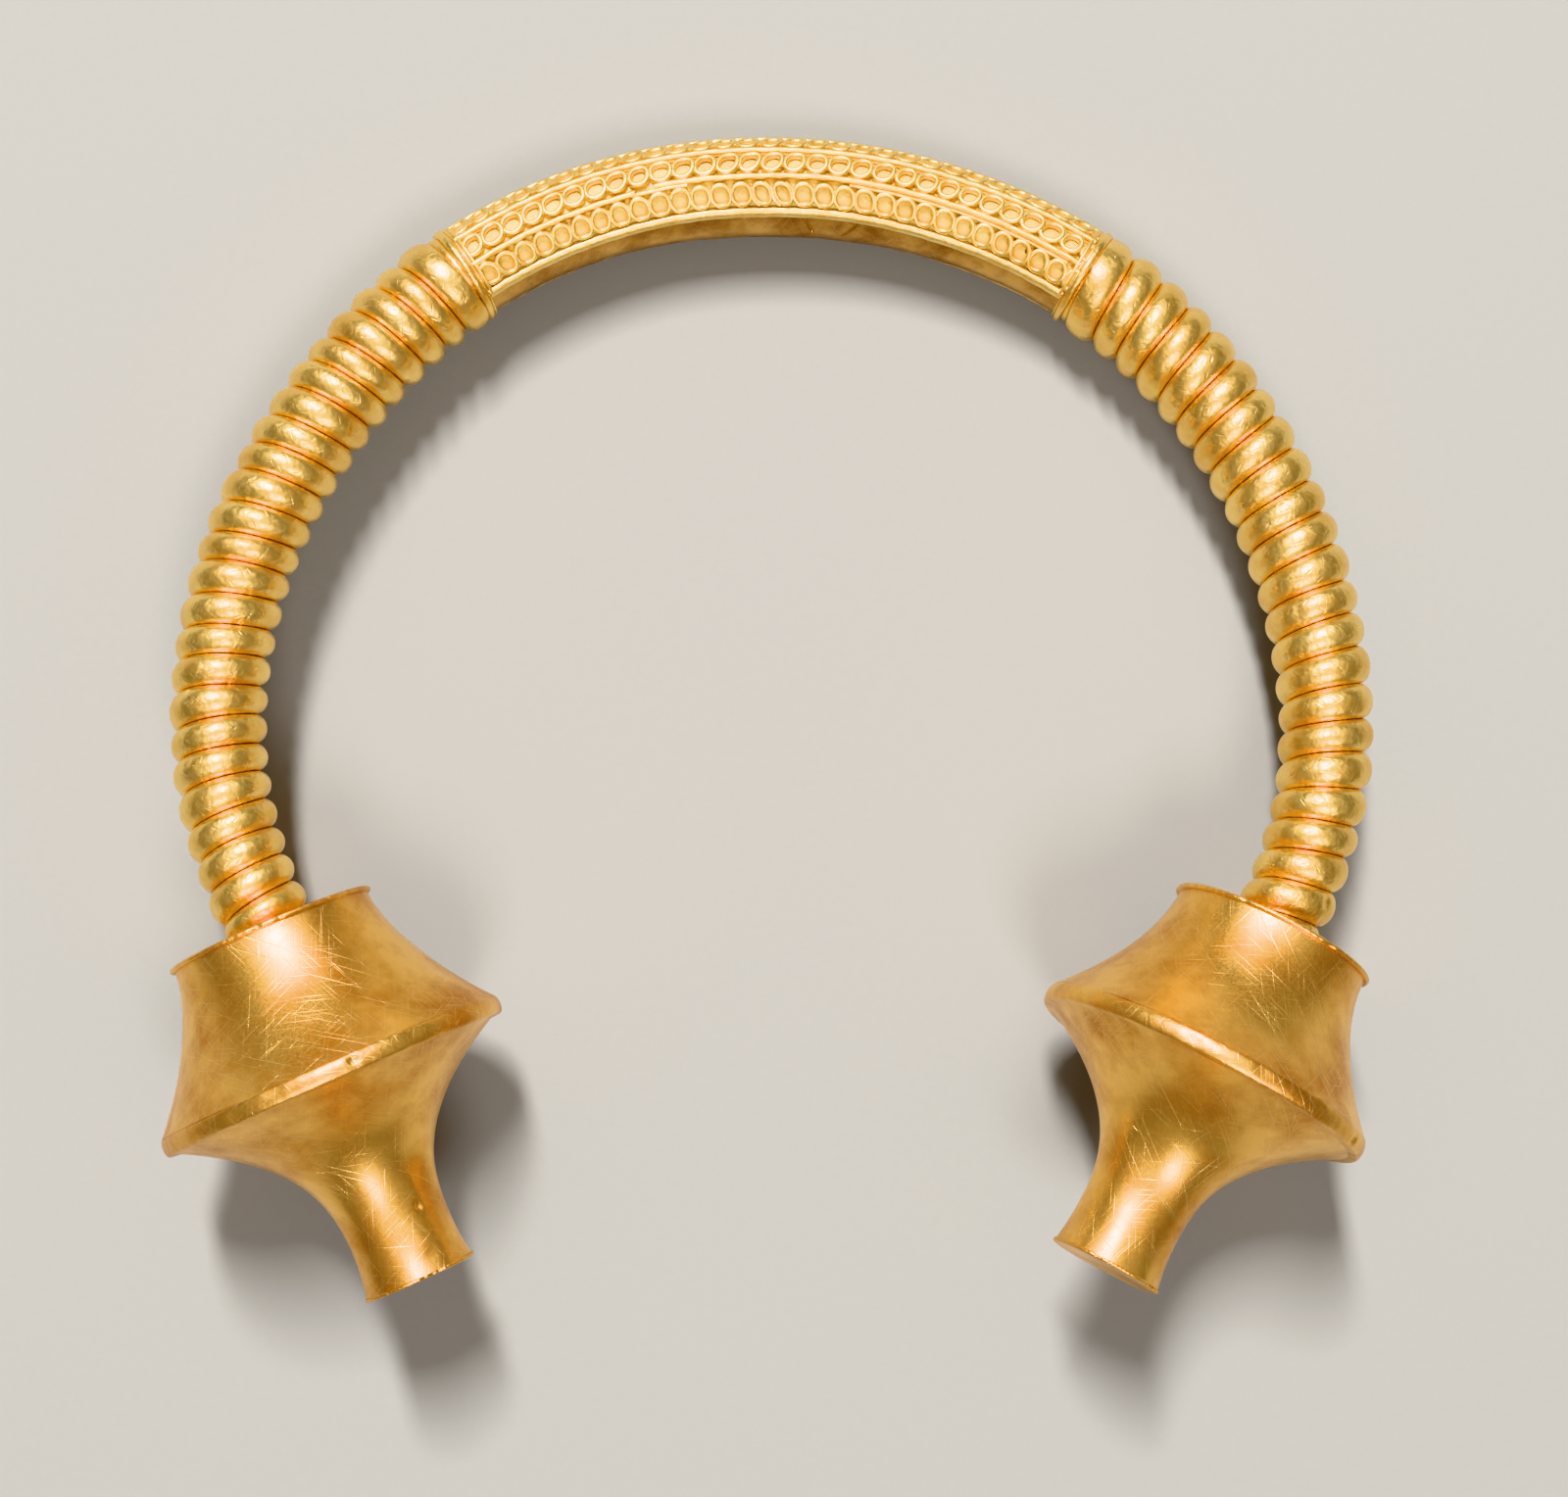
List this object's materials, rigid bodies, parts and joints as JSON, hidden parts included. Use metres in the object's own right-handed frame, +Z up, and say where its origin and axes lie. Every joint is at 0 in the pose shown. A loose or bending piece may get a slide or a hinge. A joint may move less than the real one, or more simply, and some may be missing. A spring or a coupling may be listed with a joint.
{
  "type": "gold torc",
  "caption": "Gold torc with a looped-wire middle, wire-wound limbs and hollow double-flared terminals with banded flanges, lying down.",
  "frame": {"origin": "centre of the bounding box's footprint, on the floor that the torc lies on", "axes": "+X across the hoop to the terminal at the picture's right, +Y towards the hoop's crown, +Z up from the floor"},
  "size_m": [0.2202, 0.2134, 0.0645],
  "materials": {
    "rubbed_gold": null,
    "wound_gold": null,
    "worn_gold": null
  },
  "bodies": {
    "root": {"bar": "rubbed_gold", "left_collar": "rubbed_gold", "right_collar": "rubbed_gold", "left_winding": "wound_gold", "right_winding": "wound_gold", "left_top_disc": "worn_gold", "left_upper_shell": "worn_gold", "left_flange_band": "worn_gold", "left_lower_shell": "worn_gold", "left_end_disc": "worn_gold", "right_top_disc": "worn_gold", "right_upper_shell": "worn_gold", "right_flange_band": "worn_gold", "right_lower_shell": "worn_gold", "right_end_disc": "worn_gold"}
  },
  "joints": []
}
